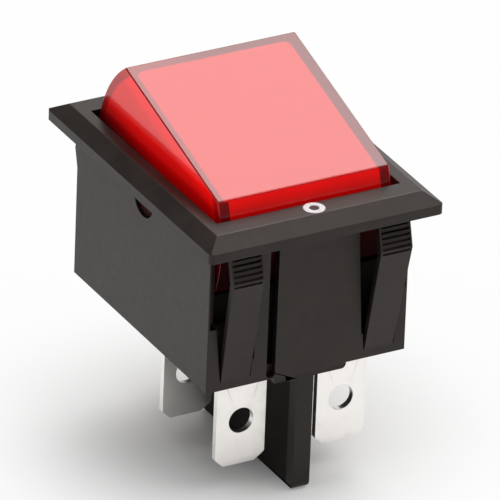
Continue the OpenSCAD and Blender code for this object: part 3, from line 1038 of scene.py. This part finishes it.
@dataclass
class Mechanism:
    """The pieces inside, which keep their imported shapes."""

    finishes: dict[Slot, Any] = field(
        default_factory=lambda: {
            Slot.SPRING: StampedMetal("spring_wire", (0.55, 0.55, 0.57), (0.42, 0.41, 0.41), 0.28),
            Slot.ACETAL: SmoothPlastic("ivory_acetal", (0.78, 0.74, 0.62), (0.72, 0.67, 0.55)),
            Slot.COPPER: StampedMetal("copper_strip", (0.80, 0.45, 0.28), (0.55, 0.30, 0.19), 0.3),
            Slot.SILVER: StampedMetal("silver_contact", (0.90, 0.89, 0.86), (0.72, 0.70, 0.66), 0.24),
            Slot.TIN: StampedMetal("tinned_wire", (0.82, 0.80, 0.78), (0.66, 0.63, 0.60), 0.3),
            Slot.GLASS: LampGlass(),
            Slot.LACQUER: SmoothPlastic("resistor_lacquer", (0.62, 0.46, 0.30), (0.52, 0.37, 0.23)),
        }
    )

    def build(self, frame: dict[str, Any]) -> None:
        """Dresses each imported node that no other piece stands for.

        Args:
            frame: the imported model.
        """
        slots = {part["node"]: part["material_slot"] for part in frame["record"]["subparts"]}
        materials = {slot.value: finish.material() for slot, finish in self.finishes.items()}
        for side in ("left", "right"):
            self._pressed_spring(frame, side, materials[Slot.SPRING.value])
        for node, piece in frame["nodes"].items():
            if piece.hide_render:
                continue
            Piece.dress(piece, materials[slots[node]])
            LOG.info("%s: packed shape, finish %s", node, slots[node])

    @staticmethod
    def _pressed_spring(frame: dict[str, Any], side: str, wire: bpy.types.Material) -> None:
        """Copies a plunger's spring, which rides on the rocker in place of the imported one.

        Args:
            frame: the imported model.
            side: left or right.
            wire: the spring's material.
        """
        node = f"plunger_spring_{side}"
        slide = next(j for j in frame["joints"] if j["name"] == f"plunger_{side}_slide")
        axis = Vector(slide["axis"])
        spring = Piece.add(f"pressed_spring_{side}", frame["nodes"][node].data.copy())
        Piece.dress(spring, wire)
        Piece.seat(spring, Body.ROCKER, Slot.SPRING, [node])
        points = [v.co.copy() for v in spring.data.vertices]
        top, bottom = max(points, key=axis.dot), min(points, key=axis.dot)
        keep = 1.0 - slide["range_m"][1] / axis.dot(top - bottom)
        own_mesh(spring)


@dataclass(frozen=True)
class Softbox:
    """A square area light that faces the switch."""

    name: str
    towards: Triple
    distance: float
    side: float
    radiance: float
    colour: Colour = WHITE

    def build(self) -> None:
        """Builds the light."""
        lamp = bpy.data.lights.new(self.name, "AREA")
        lamp.shape = "SQUARE"
        lamp.size = self.side
        lamp.energy = self.radiance * math.pi * self.side**2
        lamp.color = self.colour
        holder = Piece.add(self.name, lamp)
        way = Vector(self.towards).normalized()
        holder.location = way * self.distance
        holder.rotation_mode = "QUATERNION"
        holder.rotation_quaternion = way.to_track_quat("Z", "Y")


@dataclass
class Studio:
    """A pale floor, soft lights and a dim surround that brightens towards the window side."""

    floor_side: float = 6.0
    floor_colour: Colour = (0.88, 0.88, 0.88)
    white_near: float = 0.0
    white_far: float = 0.88
    near: float = 6.0
    far: float = 34.0
    dim: Colour = (0.15, 0.145, 0.14)
    bright: Colour = (1.24, 1.21, 1.18)
    window_side: Triple = (0.50, 0.35, 0.79)
    window_edge: float = 0.62
    window_full: float = 0.93
    softboxes: tuple[Softbox, ...] = (
        Softbox("key", (0.437, 0.45, 0.78), 0.9, 0.42, 4.5),
        Softbox("fill", (-0.55, 0.05, 0.83), 0.9, 0.6, 2.0),
        Softbox("front", (0.30, -0.42, 0.86), 0.9, 0.5, 2.0),
    )

    def build(self) -> None:
        """Builds the stage, the lights and the world, and sets how the picture is shown."""
        self._floor(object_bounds()[0].z)
        for box in self.softboxes:
            box.build()
        self._world()
        bpy.context.scene.view_settings.view_transform = "Standard"

    def _floor(self, z: float) -> None:
        """A wide floor under the switch. For camera and reflection rays it is painted white away from the
        switch, which hides shade there; close to the switch the paper shows with its real shadow.

        Args:
            z: the floor's height.
        """
        half = self.floor_side / 2
        mesh = bpy.data.meshes.new("floor")
        corners = [(-half, -half, z), (half, -half, z), (half, half, z), (-half, half, z)]
        mesh.from_pydata(corners, [], [(0, 1, 2, 3)])
        floor = Piece.add("floor", mesh)
        graph = Graph.material("paper")
        camera = graph.node("ShaderNodeLightPath", output="Is Camera Ray")
        glossy = graph.node("ShaderNodeLightPath", output="Is Glossy Ray")
        through = graph.node("ShaderNodeLightPath", output="Is Transmission Ray")
        seen = (camera + glossy + through).at_most(1.0)
        x, y, _ = graph.split(graph.position())
        # painted light: the floor's white emission grows with distance from the switch and washes out
        # shade there
        away = (x * x + y * y).root().rise(self.near, self.far)
        share = self.white_near + (self.white_far - self.white_near) * away
        paper = graph.node("ShaderNodeBsdfDiffuse", {}, {"Color": self.floor_colour})
        white = graph.node("ShaderNodeEmission", {}, {"Color": WHITE, "Strength": 1.0})
        mesh.materials.append(graph.output(graph.mix_shaders(seen * share, paper, white)))
        floor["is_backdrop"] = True

    def _world(self) -> None:
        """A dim surround that brightens towards the window side, and white where the camera sees it."""
        world = bpy.data.worlds.new("surround")
        bpy.context.scene.world = world
        graph = Graph(world)
        way = graph.node("ShaderNodeTexCoord", output="Generated")
        facing = graph.dot(way, tuple(Vector(self.window_side).normalized()))
        colour = graph.blend(facing.rise(self.window_edge, self.window_full), self.dim, self.bright)
        camera = graph.node("ShaderNodeLightPath", output="Is Camera Ray")
        colour = graph.blend(camera, colour, WHITE)
        graph.output(graph.node("ShaderNodeBackground", {}, {"Color": colour, "Strength": 1.0}))


@dataclass
class Camera:
    """A long lens from the front left, a little above the switch."""

    azimuth: float = math.radians(29.48)
    elevation: float = math.radians(27.44)
    roll: float = math.radians(2.25)
    distance: float = 1.104
    lens: float = 707.0
    sensor: float = 36.0
    aim_right: float = 0.70 * MM
    aim_down: float = 9.50 * MM

    def build(self) -> None:
        """Builds the camera and makes it the scene's own."""
        cos_a, sin_a = math.cos(self.azimuth), math.sin(self.azimuth)
        cos_e, sin_e = math.cos(self.elevation), math.sin(self.elevation)
        back = Vector((-sin_a * cos_e, -cos_a * cos_e, sin_e))
        right = Vector((cos_a, -sin_a, 0.0))
        up = back.cross(right)
        right, up = (
            right * math.cos(self.roll) + up * math.sin(self.roll),
            up * math.cos(self.roll) - right * math.sin(self.roll),
        )
        place = back * self.distance
        aim = right * self.aim_right - up * self.aim_down
        back = (place - aim).normalized()
        right = up.cross(back).normalized()
        up = back.cross(right)
        data = bpy.data.cameras.new("camera")
        data.lens = self.lens
        data.sensor_width = self.sensor
        data.clip_start = 0.05
        data.clip_end = 20.0
        turn = Matrix((right, up, back)).transposed().to_4x4()
        camera = Piece.add("camera", data)
        camera.matrix_world = Matrix.Translation(place) @ turn
        bpy.context.scene.camera = camera


def main() -> None:
    """Builds the switch in order."""
    logging.basicConfig(level=logging.INFO, format="%(name)s: %(message)s")
    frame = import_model()
    Camera().build()
    Housing().build(frame)
    Rocker().build(frame)
    Terminals().build(frame)
    OffMark().build()
    Mechanism().build(frame)
    Studio().build()


if __name__ == "__main__":
    main()
